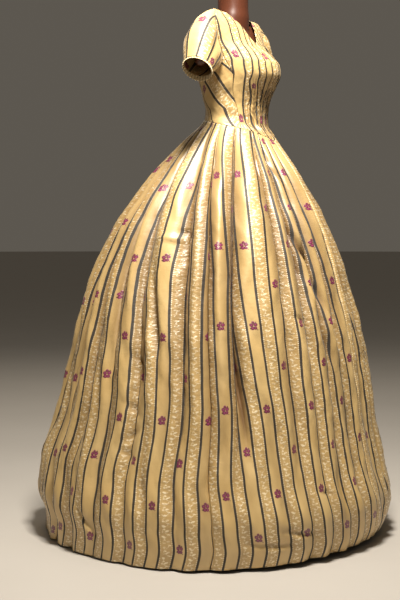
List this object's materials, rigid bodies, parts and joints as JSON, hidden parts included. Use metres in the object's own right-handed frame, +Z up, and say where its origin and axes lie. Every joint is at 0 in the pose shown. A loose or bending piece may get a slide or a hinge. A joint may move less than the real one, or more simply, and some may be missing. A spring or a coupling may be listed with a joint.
{
  "type": "victorian gown on a limbless dress form",
  "caption": "Full-skirted, short-sleeved gown of striped and sprigged ivory silk, its pleated skirt spread wide, standing on a brown dress form with a hidden pole and base.",
  "frame": {"origin": "centre of the underside of the stand's base, on the floor, under the dress form's axis", "axes": "+Z up, -Y toward the gown's front, +X toward the wearer's left"},
  "size_m": [0.9557, 0.9597, 1.456],
  "materials": {
    "silk": "soft sheen",
    "edging": "matt",
    "form": "satin",
    "stand": "satin"
  },
  "bodies": {
    "root": {"skirt_front_right": "silk", "skirt_front_left": "silk", "skirt_side_right": "silk", "skirt_side_left": "silk", "skirt_back_right": "silk", "skirt_back_left": "silk", "bodice_front_right": "silk", "bodice_front_left": "silk", "bodice_side_right": "silk", "bodice_side_left": "silk", "bodice_back_right": "silk", "bodice_back_left": "silk", "sleeve_right": "silk", "sleeve_left": "silk", "sleeve_trim_right": "edging", "sleeve_trim_left": "edging", "form_torso": "form", "stand_pole": "stand", "stand_base": "stand"}
  },
  "joints": []
}
